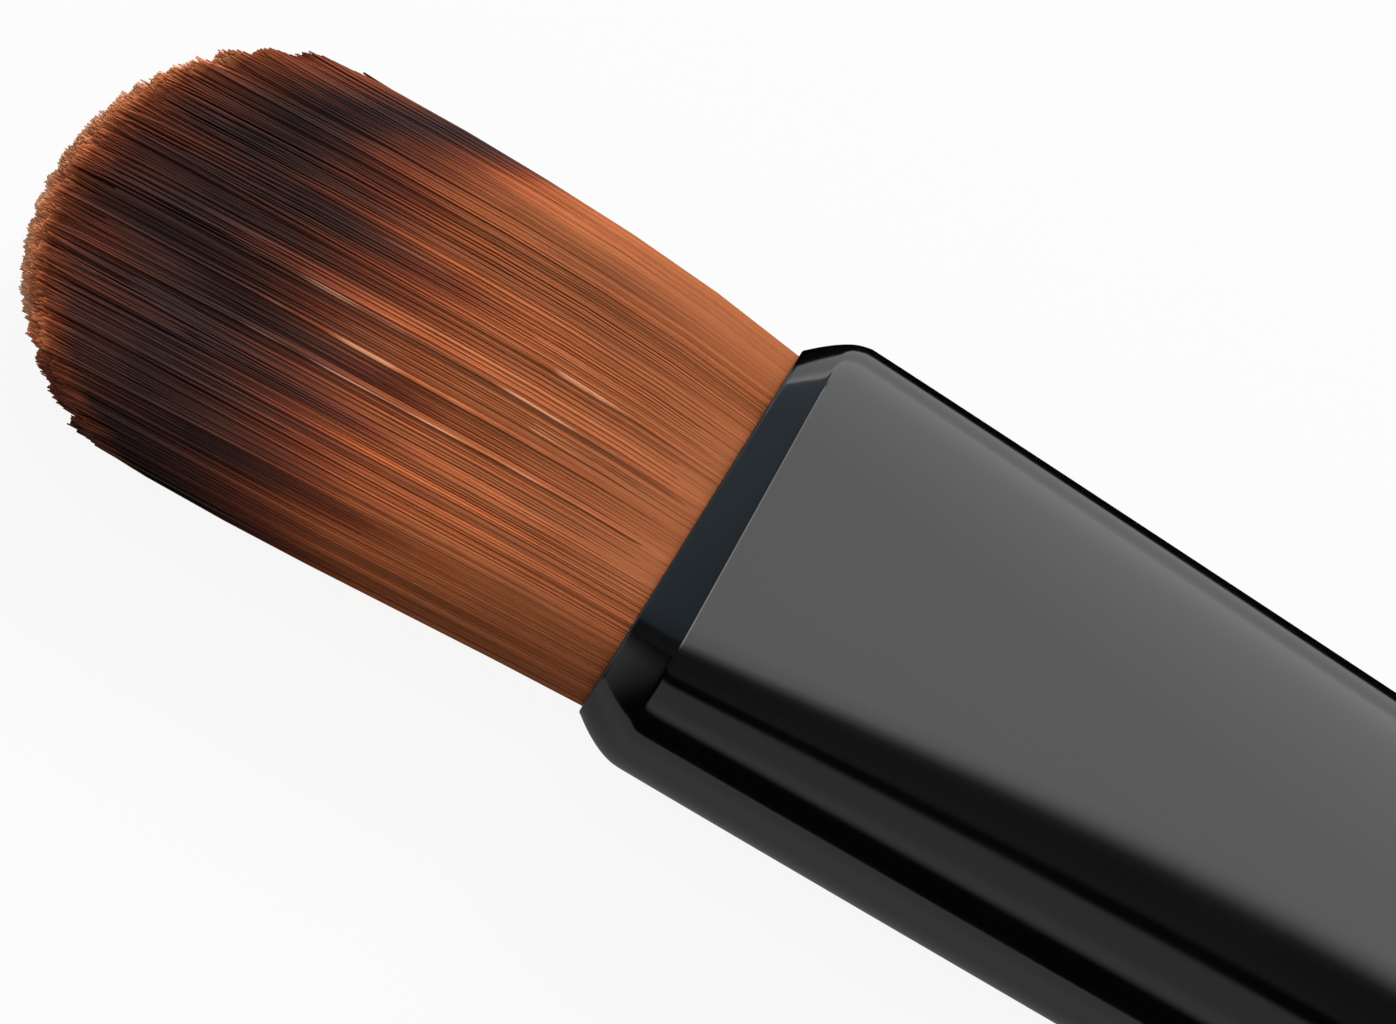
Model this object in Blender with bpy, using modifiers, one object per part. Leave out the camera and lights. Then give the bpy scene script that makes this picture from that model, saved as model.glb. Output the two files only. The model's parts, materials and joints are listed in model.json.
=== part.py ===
"""A flat foundation brush: a domed tuft of filaments set in a hollow, tapered oval handle.

The brush lies on one broad face with its length along X and the tuft towards -X.
Places along it are distances behind the mouth, where the tuft leaves the handle.
"""

import math
from collections import namedtuple

import bmesh
import bpy
from mathutils import Vector

MM = 0.001

# Fits
CLEARANCE = 0.3 * MM
SEAM = 0.3 * MM

# Tuft of filaments
TUFT_LENGTH = 36.0 * MM
TUFT_WIDTH = 22.8 * MM
TUFT_BELLY = 7.6 * MM
TUFT_TIP_THICKNESS = 3.6 * MM
DOME_LENGTH = 12.0 * MM
LAYER_STEP = 3.0 * MM
TUFT_LEAN = 1.5 * MM
BELLY_FROM_MOUTH = 9.0 * MM
FLARE_LENGTH = 26.0 * MM
STRANDS_WIDE = 21
STRANDS_DEEP = 8
STRAND_KNEE_SHARES = (0.38, 0.86)
STRAND_FILL_SHARE = 0.75
STRAND_TIP_SHARE = 0.5

# Roots of the filaments, tied and set in resin inside the inner ferrule
ROOT_WIDTH = 18.4 * MM
ROOT_THICKNESS = 6.2 * MM
ROOT_SLICE = 2.0 * MM
ROOT_RECESS = 0.7 * MM
RESIN_SHOULDER = 0.95 * MM
THREAD_DIAMETER = 0.5 * MM
THREAD_PITCH = 1.0 * MM
THREAD_MARGIN = 0.5 * MM
THREAD_TURNS = 3
THREAD_STEPS = 24
GROOVE_FLARE = 0.2 * MM

# Inner ferrule, an aluminium sleeve crimped onto the plug that closes it
FERRULE_RECESS = 1.5 * MM
FERRULE_WALL = 0.4 * MM
CRIMP_DEPTH = 0.5 * MM
CRIMP_WIDTH = 1.2 * MM
CRIMP_SLOPE = 0.5 * MM
PLUG_SHOULDER = 2.1 * MM
PLUG_FLOOR = 2.4 * MM
PLUG_WALL = 1.2 * MM

# Handle
HANDLE_LENGTH = 118.0 * MM
SIDE_WALL = 1.85 * MM
FACE_WALL = 1.4 * MM
LIP_LENGTH = 3.0 * MM
MOUTH_RIM = 0.25 * MM
BELLY_AT = 45.0 * MM
BELLY_RISE = 1.5 * MM
TAIL_WIDTH = 17.6 * MM
TAIL_WALL = 2.2 * MM
REAR_LAND = 3.0 * MM
LEDGE = 0.3 * MM

# Balance weight between its two bushes, and the foam pads behind them
PAD_LENGTH = 5.0 * MM
BUSH_LENGTH = 9.0 * MM
BUSH_FLOOR = 2.5 * MM
BUSH_WALL = 0.8 * MM
ROD_CHAMFER = 0.6 * MM

# Tail cap
CAP_LENGTH = 6.0 * MM
CAP_ROUNDING = 4.0 * MM
CAP_SKIRT = 6.0 * MM
CAP_SKIRT_WALL = 1.4 * MM
CAP_FLOOR = 1.8 * MM

# Shares of the sizes that they follow
INNER_LAND_SHARE = 0.55
MOUTH_LAND_SHARE = 0.5
LIP_LENGTH_SHARES = (0.0, 0.22, 0.63, 1.0)
LIP_RISE_SHARES = (0.0, 0.43, 0.82, 1.0)

# Fineness of the round forms
OUTER_STEPS = 9
INNER_STEPS = 7
BELLY_STEPS = 4
CAP_STEPS = 4
ROD_SIDES = 24

# Sizes that follow from those above
ROOT_HALF_WIDTH = ROOT_WIDTH / 2
ROOT_HALF_HEIGHT = ROOT_THICKNESS / 2
FERRULE_HALF_WIDTH = ROOT_HALF_WIDTH + CLEARANCE + FERRULE_WALL
FERRULE_HALF_HEIGHT = ROOT_HALF_HEIGHT + CLEARANCE + FERRULE_WALL
POCKET_HALF_WIDTH = FERRULE_HALF_WIDTH + CLEARANCE
POCKET_HALF_HEIGHT = FERRULE_HALF_HEIGHT + CLEARANCE
MOUTH_HALF_WIDTH = POCKET_HALF_WIDTH + SIDE_WALL
MOUTH_HALF_HEIGHT = POCKET_HALF_HEIGHT + FACE_WALL
BELLY_HALF_HEIGHT = MOUTH_HALF_HEIGHT + BELLY_RISE
BORE_HALF_HEIGHT = POCKET_HALF_HEIGHT - LEDGE
ROD_RADIUS = BORE_HALF_HEIGHT - CLEARANCE - BUSH_WALL - CLEARANCE

THREAD_GROOVE = CLEARANCE + THREAD_DIAMETER
THREAD_GROOVE_LENGTH = THREAD_TURNS * THREAD_PITCH + THREAD_DIAMETER + 2 * THREAD_MARGIN
RESIN_LENGTH = THREAD_GROOVE_LENGTH + 2 * (GROOVE_FLARE + RESIN_SHOULDER)
CRIMP_HALF_LENGTH = CRIMP_WIDTH / 2 + CRIMP_SLOPE
PLUG_LENGTH = 2 * (PLUG_SHOULDER + CLEARANCE + CRIMP_HALF_LENGTH)

# Places of the pieces, each a distance behind the mouth
ROOT_FACE_AT = FERRULE_RECESS + ROOT_RECESS
RESIN_AT = ROOT_FACE_AT + ROOT_SLICE + CLEARANCE
PLUG_AT = RESIN_AT + RESIN_LENGTH + CLEARANCE
PLUG_END = PLUG_AT + PLUG_LENGTH
LEDGE_AT = PLUG_END + CLEARANCE
FRONT_PAD_AT = LEDGE_AT + CLEARANCE
FRONT_BUSH_AT = FRONT_PAD_AT + PAD_LENGTH + CLEARANCE
SHELL_END = HANDLE_LENGTH - CAP_LENGTH
SKIRT_AT = SHELL_END - CAP_SKIRT
REAR_PAD_AT = SKIRT_AT - CLEARANCE - PAD_LENGTH
REAR_BUSH_AT = REAR_PAD_AT - CLEARANCE - BUSH_LENGTH
ROD_AT = FRONT_BUSH_AT + BUSH_FLOOR + CLEARANCE
ROD_END = REAR_BUSH_AT + BUSH_LENGTH - BUSH_FLOOR - CLEARANCE

# One cross-section: an oval whose broad sides are flat as far as the land on each side of the middle
Ring = namedtuple("Ring", "along half_width half_height land")


def clear_scene():
    for obj in list(bpy.data.objects):
        bpy.data.objects.remove(obj)


def material(name, colour, roughness, metallic=0.0):
    made = bpy.data.materials.new(name)
    made.use_nodes = True
    surface = made.node_tree.nodes["Principled BSDF"]
    surface.inputs["Base Color"].default_value = (*colour, 1.0)
    surface.inputs["Roughness"].default_value = roughness
    surface.inputs["Metallic"].default_value = metallic
    return made


def mix(start, end, share):
    return start + (end - start) * share


def put(collection, name, data, finish, along, axis):
    """A named piece whose own origin sits on the brush's axis, this far behind the mouth."""
    data.materials.append(finish)
    obj = bpy.data.objects.new(name, data)
    collection.objects.link(obj)
    obj.parent = axis
    obj.location = (along, 0, 0)
    return obj


def finished_mesh(name, bm):
    """The bmesh as a mesh, with its faces outward and its round parts shaded smooth."""
    bmesh.ops.recalc_face_normals(bm, faces=bm.faces)
    mesh = bpy.data.meshes.new(name)
    bm.to_mesh(mesh)
    bm.free()
    mesh.shade_smooth()
    mesh.set_sharp_from_angle(angle=math.radians(30))
    return mesh


def oval(ring, steps):
    """The points (y, z) round a cross-section, anticlockwise from +Y."""
    shoulder = ring.half_width - ring.land
    quarter = []
    for step in range(steps + 1):
        turn = math.radians(90) * step / steps
        quarter.append((ring.land + shoulder * math.cos(turn), ring.half_height * math.sin(turn)))
    upper = quarter + [(-y, z) for y, z in reversed(quarter)]
    return upper + [(y, -z) for y, z in reversed(upper)][1:-1]


def loft(name, rings, steps, ends="capped"):
    """A mesh over unlike rings. Its ends are capped, left open, or joined to each other as a sleeve's."""
    bm = bmesh.new()
    loops = []
    for ring in rings:
        loops.append([bm.verts.new((ring.along, y, z)) for y, z in oval(ring, steps)])
    spans = list(zip(loops, loops[1:]))
    if ends == "joined":
        spans.append((loops[-1], loops[0]))
    for near, far in spans:
        for i in range(len(near)):
            bm.faces.new((near[i - 1], near[i], far[i], far[i - 1]))
    if ends == "capped":
        bm.faces.new(reversed(loops[0]))
        bm.faces.new(loops[-1])
    return finished_mesh(name, bm)


def inner_ring(along, half_width, half_height):
    """A ring of one of the pieces inside the handle, which all share one shape of oval."""
    return Ring(along, half_width, half_height, half_width * INNER_LAND_SHARE)


def root_ring(along, inset=0.0):
    """The oval of the tuft's roots, or one smaller all round by the inset."""
    return inner_ring(along, ROOT_HALF_WIDTH - inset, ROOT_HALF_HEIGHT - inset)


def bore_ring(along, inset=0.0):
    """The handle's tapered bore behind the ledge, or a ring smaller all round by the inset."""
    share = (along - LEDGE_AT) / (SHELL_END - LEDGE_AT)
    half_width = mix(POCKET_HALF_WIDTH - LEDGE, TAIL_WIDTH / 2 - TAIL_WALL, share)
    return inner_ring(along, half_width - inset, BORE_HALF_HEIGHT - inset)


def handle_ring(along):
    """The outside of the handle behind its lip. It narrows steadily, and thickens as far as the belly."""
    width_share = (along - LIP_LENGTH) / (SHELL_END - LIP_LENGTH)
    belly_share = min(1.0, (along - LIP_LENGTH) / (BELLY_AT - LIP_LENGTH))
    rise_share = math.sin(math.radians(90) * belly_share)
    return Ring(
        along,
        mix(MOUTH_HALF_WIDTH, TAIL_WIDTH / 2, width_share),
        mix(MOUTH_HALF_HEIGHT, BELLY_HALF_HEIGHT, rise_share),
        mix(MOUTH_HALF_WIDTH * MOUTH_LAND_SHARE, REAR_LAND / 2, belly_share),
    )


def handle_shell(collection, finish, axis):
    """The glossy moulding: a rounded lip, a pocket for the ferrule, and a bore that runs to the tail."""
    rings = []
    for length_share, rise_share in zip(LIP_LENGTH_SHARES, LIP_RISE_SHARES):
        half_width = mix(POCKET_HALF_WIDTH + MOUTH_RIM, MOUTH_HALF_WIDTH, rise_share)
        half_height = mix(POCKET_HALF_HEIGHT + MOUTH_RIM, MOUTH_HALF_HEIGHT, rise_share)
        land_share = mix(INNER_LAND_SHARE, MOUTH_LAND_SHARE, rise_share)
        rings.append(Ring(LIP_LENGTH * length_share, half_width, half_height, half_width * land_share))
    for step in range(1, BELLY_STEPS + 1):
        rings.append(handle_ring(mix(LIP_LENGTH, BELLY_AT, step / BELLY_STEPS)))
    rings.append(handle_ring(SHELL_END))
    rings.append(bore_ring(SHELL_END))
    rings.append(bore_ring(LEDGE_AT))
    rings.append(inner_ring(LEDGE_AT, POCKET_HALF_WIDTH, POCKET_HALF_HEIGHT))
    rings.append(inner_ring(0.0, POCKET_HALF_WIDTH, POCKET_HALF_HEIGHT))
    mesh = loft("handle_shell", rings, OUTER_STEPS, ends="joined")
    return put(collection, "handle_shell", mesh, finish, 0.0, axis)


def tail_cap(collection, finish, axis):
    """The rounded end of the handle, with a hollow skirt that plugs into the bore."""
    hollow = bore_ring(SHELL_END, CLEARANCE + CAP_SKIRT_WALL)
    skirt = bore_ring(SHELL_END, CLEARANCE)
    outside = handle_ring(SHELL_END)
    seat_at = SHELL_END + SEAM
    rings = [
        hollow._replace(along=HANDLE_LENGTH - CAP_FLOOR),
        hollow._replace(along=SKIRT_AT),
        skirt._replace(along=SKIRT_AT),
        skirt._replace(along=seat_at),
        outside._replace(along=seat_at),
    ]
    for step in range(CAP_STEPS + 1):
        turn = math.radians(90) * step / CAP_STEPS
        inset = CAP_ROUNDING * (1 - math.cos(turn))
        half_width = outside.half_width - inset
        rings.append(
            Ring(
                HANDLE_LENGTH - CAP_ROUNDING * (1 - math.sin(turn)),
                half_width,
                outside.half_height - inset,
                outside.land * half_width / outside.half_width,
            )
        )
    mesh = loft("tail_cap", [ring._replace(along=ring.along - SHELL_END) for ring in rings], OUTER_STEPS)
    return put(collection, "tail_cap", mesh, finish, SHELL_END, axis)


def inner_ferrule(collection, finish, axis):
    """The sleeve that holds the roots, pinched in all round where it grips its plug."""
    length = PLUG_END - FERRULE_RECESS
    crimp_at = PLUG_AT + PLUG_LENGTH / 2 - FERRULE_RECESS
    stations = (
        (0.0, 0.0),
        (crimp_at - CRIMP_HALF_LENGTH, 0.0),
        (crimp_at - CRIMP_WIDTH / 2, CRIMP_DEPTH),
        (crimp_at + CRIMP_WIDTH / 2, CRIMP_DEPTH),
        (crimp_at + CRIMP_HALF_LENGTH, 0.0),
        (length, 0.0),
    )
    rings = []
    for along, inset in stations:
        rings.append(inner_ring(along, FERRULE_HALF_WIDTH - inset, FERRULE_HALF_HEIGHT - inset))
    mesh = loft("inner_ferrule", rings, INNER_STEPS, ends="open")
    ferrule = put(collection, "inner_ferrule", mesh, finish, FERRULE_RECESS, axis)
    wall = ferrule.modifiers.new("wall", "SOLIDIFY")
    wall.thickness = FERRULE_WALL
    wall.offset = -1
    wall.use_even_offset = True
    return ferrule


def ferrule_plug(collection, finish, axis):
    """The moulded stopper behind the roots, grooved for the crimp and cored out from behind."""
    middle = PLUG_LENGTH / 2
    floor_half = CRIMP_WIDTH / 2 + CLEARANCE
    edge_half = CRIMP_HALF_LENGTH + CLEARANCE
    core = CRIMP_DEPTH + PLUG_WALL
    rings = [
        root_ring(0.0),
        root_ring(middle - edge_half),
        root_ring(middle - floor_half, CRIMP_DEPTH),
        root_ring(middle + floor_half, CRIMP_DEPTH),
        root_ring(middle + edge_half),
        root_ring(PLUG_LENGTH),
        root_ring(PLUG_LENGTH, core),
        root_ring(PLUG_FLOOR, core),
    ]
    mesh = loft("ferrule_plug", rings, INNER_STEPS)
    return put(collection, "ferrule_plug", mesh, finish, PLUG_AT, axis)


def root_resin(collection, finish, axis):
    """The cured resin block round the ends of the filaments, drawn in where the thread ties it."""
    groove_end = RESIN_SHOULDER + 2 * GROOVE_FLARE + THREAD_GROOVE_LENGTH
    rings = [
        root_ring(0.0),
        root_ring(RESIN_SHOULDER),
        root_ring(RESIN_SHOULDER + GROOVE_FLARE, THREAD_GROOVE),
        root_ring(groove_end - GROOVE_FLARE, THREAD_GROOVE),
        root_ring(groove_end),
        root_ring(RESIN_LENGTH),
    ]
    mesh = loft("root_resin", rings, INNER_STEPS)
    return put(collection, "root_resin", mesh, finish, RESIN_AT, axis)


def binding_thread(collection, finish, axis):
    """The thread that ties the roots, wound in a helix round the waist of the resin block."""
    path = root_ring(0.0, THREAD_GROOVE - CLEARANCE - THREAD_DIAMETER / 2)
    first = RESIN_SHOULDER + GROOVE_FLARE + THREAD_MARGIN + THREAD_DIAMETER / 2
    curve = bpy.data.curves.new("binding_thread", "CURVE")
    curve.dimensions = "3D"
    curve.bevel_depth = THREAD_DIAMETER / 2
    curve.bevel_resolution = 2
    curve.use_fill_caps = True
    spline = curve.splines.new("POLY")
    steps = THREAD_TURNS * THREAD_STEPS
    spline.points.add(steps)
    for step in range(steps + 1):
        turn = math.radians(360) * step / THREAD_STEPS
        y = path.half_width * math.cos(turn)
        past_land = max(0.0, abs(y) - path.land) / (path.half_width - path.land)
        z = path.half_height * math.sqrt(max(0.0, 1 - past_land**2))
        x = first + THREAD_PITCH * step / THREAD_STEPS
        spline.points[step].co = (x, y, math.copysign(z, math.sin(turn)), 1)
    return put(collection, "binding_thread", curve, finish, RESIN_AT, axis)


def oval_point(across, up, half_width, half_height, land_share):
    """A point of the unit disc carried onto an oval, where it keeps its share of the way out."""
    low = 0.0
    high = 2.0
    reach = max(math.hypot(across, up), 1e-9)
    for _ in range(30):
        middle = (low + high) / 2
        past_land = max(0.0, abs(across) / reach * middle - land_share) / (1 - land_share)
        if past_land**2 + (up / reach * middle) ** 2 < 1:
            low = middle
        else:
            high = middle
    return across * low * half_width, up * low * half_height


def tuft_half_width(out):
    """Half the tuft's width this far out of the mouth. It flares quickly, then runs nearly straight."""
    share = min(1.0, (out + ROOT_FACE_AT) / FLARE_LENGTH)
    return mix(ROOT_HALF_WIDTH, TUFT_WIDTH / 2, 1 - (1 - share) ** 3)


def tuft_half_height(out):
    """Half the tuft's thickness this far out. It has a belly near the mouth, and is thin at the tip."""
    if out < BELLY_FROM_MOUTH:
        end = ROOT_HALF_HEIGHT
        share = (BELLY_FROM_MOUTH - out) / (BELLY_FROM_MOUTH + ROOT_FACE_AT)
    else:
        end = TUFT_TIP_THICKNESS / 2
        share = (out - BELLY_FROM_MOUTH) / (TUFT_LENGTH - BELLY_FROM_MOUTH)
    return mix(TUFT_BELLY / 2, end, share**2)


def tuft_point(across, up, out):
    """Where the filament rooted at this point of the unit disc has come to, this far out of the mouth."""
    y, z = oval_point(across, up, tuft_half_width(out), tuft_half_height(out), INNER_LAND_SHARE)
    return y - TUFT_LEAN * max(0.0, out) / TUFT_LENGTH, z


def strand_reach(across, up):
    """How far out a strand ends. The tips make a dome, and the outer layers stop short."""
    dome = DOME_LENGTH * math.sqrt(max(0.0, 1 - across**2))
    return TUFT_LENGTH - DOME_LENGTH + dome - LAYER_STEP * up**2


def root_slice(bm, place):
    """The slice that joins the strands' roots, and its front cells. Points keep their place on the disc."""
    bmesh.ops.create_grid(bm, x_segments=STRANDS_WIDE, y_segments=STRANDS_DEEP, size=1)
    for vert in bm.verts:
        across, up, _ = vert.co
        vert[place] = (0, across * math.sqrt(1 - up**2 / 2), up * math.sqrt(1 - across**2 / 2))
        y, z = tuft_point(*vert[place].yz, -ROOT_FACE_AT)
        vert.co = (0, y, z)
    bmesh.ops.triangulate(bm, faces=bm.faces, quad_method="SHORT_EDGE")
    cells = list(bm.faces)
    rim = [edge for edge in bm.edges if edge.is_boundary]
    sides = bmesh.ops.extrude_edge_only(bm, edges=rim)["geom"]
    back = [item for item in sides if isinstance(item, bmesh.types.BMEdge) and item.is_boundary]
    for vert in {vert for edge in back for vert in edge.verts}:
        vert.co.x = ROOT_SLICE
    bmesh.ops.contextual_create(bm, geom=back)
    return cells


def spread(face, place, out, size):
    """Carries a strand's end face this far out of the mouth, drawn in about its own centre by this share."""
    centre = sum((vert[place] for vert in face.verts), Vector()) / len(face.verts)
    if out is None:
        out = strand_reach(*centre.yz)
    for vert in face.verts:
        vert[place] = centre.lerp(vert[place], size)
        y, z = tuft_point(*vert[place].yz, out)
        vert.co = (-ROOT_FACE_AT - out, y, z)


def bristle_tuft(collection, finish, axis):
    """Strands grown from the root slice, whose cells are drawn in, then extruded over two knees to a tip."""
    bm = bmesh.new()
    place = bm.verts.layers.float_vector.new("place")
    tops = root_slice(bm, place)
    bmesh.ops.inset_individual(bm, faces=tops, thickness=0)
    for face in tops:
        spread(face, place, -ROOT_FACE_AT, STRAND_FILL_SHARE)
    shortest = TUFT_LENGTH - DOME_LENGTH - LAYER_STEP
    stops = [(shortest * share, 1.0) for share in STRAND_KNEE_SHARES] + [(None, STRAND_TIP_SHARE)]
    for out, size in stops:
        tops = bmesh.ops.extrude_discrete_faces(bm, faces=tops)["faces"]
        for face in tops:
            spread(face, place, out, size)
    mesh = finished_mesh("bristle_tuft", bm)
    return put(collection, "bristle_tuft", mesh, finish, ROOT_FACE_AT, axis)


def bore_block(collection, name, finish, along, length, axis):
    """A block that fills the tapered bore over this length."""
    rings = [bore_ring(along, CLEARANCE), bore_ring(along + length, CLEARANCE)]
    mesh = loft(name, [ring._replace(along=ring.along - along) for ring in rings], INNER_STEPS)
    return put(collection, name, mesh, finish, along, axis)


def round_bar(name, radius, length, chamfer=0.0):
    """A bar that stands on its own middle along Z, with both its ends chamfered."""
    bm = bmesh.new()
    bmesh.ops.create_cone(
        bm, cap_ends=True, segments=ROD_SIDES, radius1=radius, radius2=radius, depth=length
    )
    if chamfer:
        rims = [edge for edge in bm.edges if edge.verts[0].co.z * edge.verts[1].co.z > 0]
        bmesh.ops.bevel(
            bm, geom=rims, offset=chamfer, segments=1, profile=0.5, affect="EDGES", material=-1
        )
    return finished_mesh(name, bm)


def weight_bush(collection, cutters, name, finish, along, hole_at, axis):
    """A moulded block in the bore, with a blind hole that takes one end of the balance weight."""
    bush = bore_block(collection, name, finish, along, BUSH_LENGTH, axis)
    bar = round_bar(name + "_hole", ROD_RADIUS + CLEARANCE, 2 * (BUSH_LENGTH - BUSH_FLOOR))
    hole = put(cutters, name + "_hole", bar, finish, hole_at, axis)
    hole.rotation_euler.y = math.radians(90)
    hole.hide_render = True
    hole.display_type = "WIRE"
    cut = bush.modifiers.new("rod_hole", "BOOLEAN")
    cut.operation = "DIFFERENCE"
    cut.object = hole
    return bush


def balance_weight(collection, finish, axis):
    """The steel rod that gives the handle its heft."""
    bar = round_bar("balance_weight", ROD_RADIUS, ROD_END - ROD_AT, ROD_CHAMFER)
    rod = put(collection, "balance_weight", bar, finish, (ROD_AT + ROD_END) / 2, axis)
    rod.rotation_euler.y = math.radians(90)
    return rod


def main():
    clear_scene()
    brush = bpy.data.collections.new("makeup_brush")
    cutters = bpy.data.collections.new("cutters")
    for collection in (brush, cutters):
        bpy.context.scene.collection.children.link(collection)
    axis = bpy.data.objects.new("brush_axis", None)
    brush.objects.link(axis)
    axis.location = ((TUFT_LENGTH - HANDLE_LENGTH) / 2, 0, BELLY_HALF_HEIGHT)

    black = material("black_gloss", (0.012, 0.012, 0.013), 0.12)
    filament = material("filament", (0.30, 0.11, 0.045), 0.45)
    resin = material("resin", (0.55, 0.38, 0.16), 0.3)
    thread = material("nylon_thread", (0.75, 0.72, 0.66), 0.6)
    aluminium = material("aluminium", (0.78, 0.78, 0.80), 0.3, metallic=1.0)
    moulded = material("moulded_plastic", (0.08, 0.08, 0.085), 0.5)
    foam = material("foam", (0.16, 0.16, 0.17), 0.95)
    steel = material("steel", (0.60, 0.61, 0.63), 0.35, metallic=1.0)

    bristle_tuft(brush, filament, axis)
    root_resin(brush, resin, axis)
    binding_thread(brush, thread, axis)
    inner_ferrule(brush, aluminium, axis)
    ferrule_plug(brush, moulded, axis)
    handle_shell(brush, black, axis)
    bore_block(brush, "front_pad", foam, FRONT_PAD_AT, PAD_LENGTH, axis)
    weight_bush(brush, cutters, "front_bush", moulded, FRONT_BUSH_AT, FRONT_BUSH_AT + BUSH_LENGTH, axis)
    balance_weight(brush, steel, axis)
    weight_bush(brush, cutters, "rear_bush", moulded, REAR_BUSH_AT, REAR_BUSH_AT, axis)
    bore_block(brush, "rear_pad", foam, REAR_PAD_AT, PAD_LENGTH, axis)
    tail_cap(brush, black, axis)
    bpy.context.view_layer.update()


main()
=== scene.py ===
# %% [markdown]
# # Dressing a flat foundation brush
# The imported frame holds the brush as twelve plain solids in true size. This lesson keeps
# the frame where it is and dresses what shows: a finely rounded handle, thousands of
# two-tone filaments, and a node material for each finish.

import json
import math

import bmesh
import bpy
import numpy as np
from mathutils import Matrix, Vector


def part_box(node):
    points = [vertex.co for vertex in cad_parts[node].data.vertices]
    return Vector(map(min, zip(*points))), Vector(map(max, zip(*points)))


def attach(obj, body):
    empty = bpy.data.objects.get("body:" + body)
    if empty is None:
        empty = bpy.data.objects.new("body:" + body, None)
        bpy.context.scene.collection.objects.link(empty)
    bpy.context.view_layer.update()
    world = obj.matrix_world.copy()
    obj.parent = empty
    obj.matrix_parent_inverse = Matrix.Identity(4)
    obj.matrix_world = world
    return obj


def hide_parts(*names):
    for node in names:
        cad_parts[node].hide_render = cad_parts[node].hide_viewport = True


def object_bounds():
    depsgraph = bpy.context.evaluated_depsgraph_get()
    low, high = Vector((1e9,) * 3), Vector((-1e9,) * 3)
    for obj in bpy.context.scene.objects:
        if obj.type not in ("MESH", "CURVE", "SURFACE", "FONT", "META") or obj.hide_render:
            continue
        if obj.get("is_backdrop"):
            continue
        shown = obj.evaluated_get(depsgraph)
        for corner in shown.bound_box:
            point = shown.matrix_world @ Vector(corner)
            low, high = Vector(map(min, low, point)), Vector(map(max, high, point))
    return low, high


MM = 0.001
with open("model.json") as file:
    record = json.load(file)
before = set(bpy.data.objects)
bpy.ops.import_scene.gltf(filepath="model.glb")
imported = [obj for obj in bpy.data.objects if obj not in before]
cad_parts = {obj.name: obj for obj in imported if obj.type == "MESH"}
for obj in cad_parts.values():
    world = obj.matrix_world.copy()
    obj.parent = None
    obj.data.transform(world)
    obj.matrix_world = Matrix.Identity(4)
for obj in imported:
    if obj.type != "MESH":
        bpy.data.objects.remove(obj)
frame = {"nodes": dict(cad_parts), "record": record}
cad_low, cad_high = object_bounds()
print("frame", [round(side / MM, 1) for side in cad_high - cad_low], "mm")

# %% [markdown]
# ## Where things are
# Every place on the brush is a distance behind the mouth, where the tuft leaves the handle.
# The handle solid's own box gives the mouth's place and the height of the brush's axis.

# %% The mouth and the axis
shell_low, shell_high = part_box("handle_shell")
MOUTH_X = shell_low.x
AXIS_Z = (shell_low.z + shell_high.z) / 2


def on_brush(along, y, z):
    """A point this far behind the mouth, beside the axis and above it."""
    return Vector((MOUTH_X + along, y, AXIS_Z + z))


def mix(start, end, share):
    return start + (end - start) * share


def add_object(name, data):
    """A new object in the scene."""
    made = bpy.data.objects.new(name, data)
    bpy.context.scene.collection.objects.link(made)
    return made


print("mouth at x", round(MOUTH_X / MM, 2), "mm, axis at z", round(AXIS_Z / MM, 2), "mm")

# %% [markdown]
# ## The camera
# The photograph looks down on the brush square to its length: the mouth's rim shows as a
# straight line between the two places where the tuft meets the handle's outline. It leans 13
# degrees to the near side, so the near side shows and the far one hardly does. In the picture
# the brush slopes by 32 degrees, which is the camera's roll. The two edges of the handle
# hardly run together, so the lens is long: 200 mm, at 38 cm, frames the front 78 mm.

# %% Camera
SIDE_LEAN = math.radians(12.6)
SLOPE = math.radians(31.8)
FRAME_WIDTH = 67.8 * MM
LENS = 200.0
AIM_RIGHT, AIM_UP = 0.19, 0.66

camera = add_object("camera", bpy.data.cameras.new("camera"))
camera.data.lens = LENS
camera.data.clip_start = 0.01
turn = Matrix.Rotation(SIDE_LEAN, 3, "X") @ Matrix.Rotation(SLOPE, 3, "Z")
right, up, back = turn.col
aim = on_brush(0, 0, 0) + right * AIM_RIGHT * MM + up * AIM_UP * MM
camera.location = aim + back * (FRAME_WIDTH * LENS / camera.data.sensor_width)
camera.rotation_mode = "QUATERNION"
camera.rotation_quaternion = turn.to_quaternion()
bpy.context.scene.camera = camera
print("camera", round((camera.location - aim).length, 3), "m from the mouth")

# %% [markdown]
# ## Helpers for node trees
# The first helper adds one node, sets its options, and fills its inputs with plain values or
# with the outputs of earlier nodes. The others are what comes back often.

# %% Add a node


def add_node(tree, kind, inputs=None, **options):
    made = tree.nodes.new("ShaderNode" + kind)
    for name, value in options.items():
        setattr(made, name, value)
    for name, value in (inputs or {}).items():
        if isinstance(value, bpy.types.NodeSocket):
            tree.links.new(value, made.inputs[name])
        else:
            made.inputs[name].default_value = value
    return made


def maths(tree, operation, first, second=0.5):
    """The result of one sum on two values."""
    return add_node(tree, "Math", {0: first, 1: second}, operation=operation).outputs[0]


def times(tree, *values):
    """The product of values, as nodes."""
    result = values[0]
    for value in values[1:]:
        result = maths(tree, "MULTIPLY", result, value)
    return result


def colour_mix(tree, share, first, second, blend="MIX"):
    """Two colours mixed, or joined as the blend says."""
    inputs = {0: share, 6: first, 7: second}
    return add_node(tree, "Mix", inputs, data_type="RGBA", blend_type=blend).outputs[2]


def ranged(tree, value, low, high):
    """A value from 0 to 1, carried onto the range from low to high."""
    inputs = {"Value": value, "To Min": low, "To Max": high}
    return add_node(tree, "MapRange", inputs).outputs["Result"]


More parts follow.
